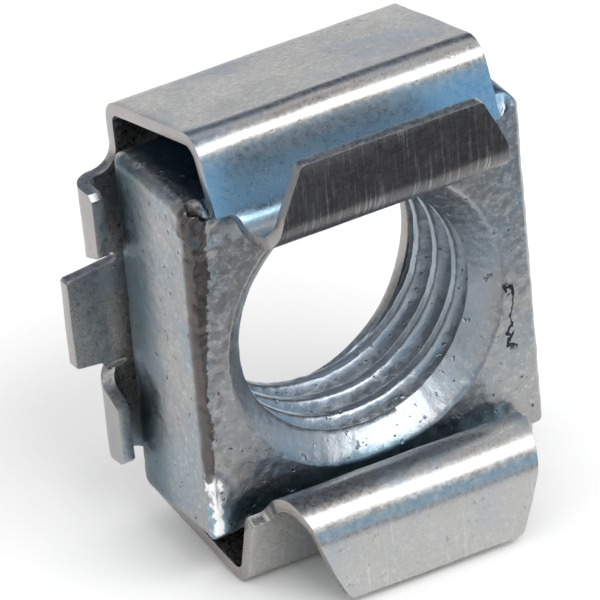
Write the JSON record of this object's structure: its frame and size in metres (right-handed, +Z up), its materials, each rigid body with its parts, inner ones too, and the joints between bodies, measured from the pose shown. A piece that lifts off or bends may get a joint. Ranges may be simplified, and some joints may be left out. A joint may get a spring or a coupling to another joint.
{
  "type": "rack cage nut",
  "caption": "Square threaded nut held in a folded spring steel cage whose two wings snap into a square hole in a rack rail or panel.",
  "frame": {"origin": "middle of the nut's threaded bore", "axes": "+X runs along the two spring wings, -Y is the thread axis on the side where the panel and the screw come, +Z is up, from the lower wing to the upper one"},
  "size_m": [0.0158, 0.0103, 0.0168],
  "materials": {
    "spring_steel": "zinc plated, bright, scuffed",
    "nut_steel": "zinc plated, dull, dented"
  },
  "bodies": {
    "cage": {"spring_cage": "spring_steel"},
    "nut": {"square_nut": "nut_steel"}
  },
  "joints": [
    {"name": "nut_float", "type": "slide", "parent": "cage", "child": "nut", "axis": [1, 0, 0], "range_m": [-0.00035, 0.00035]}
  ]
}
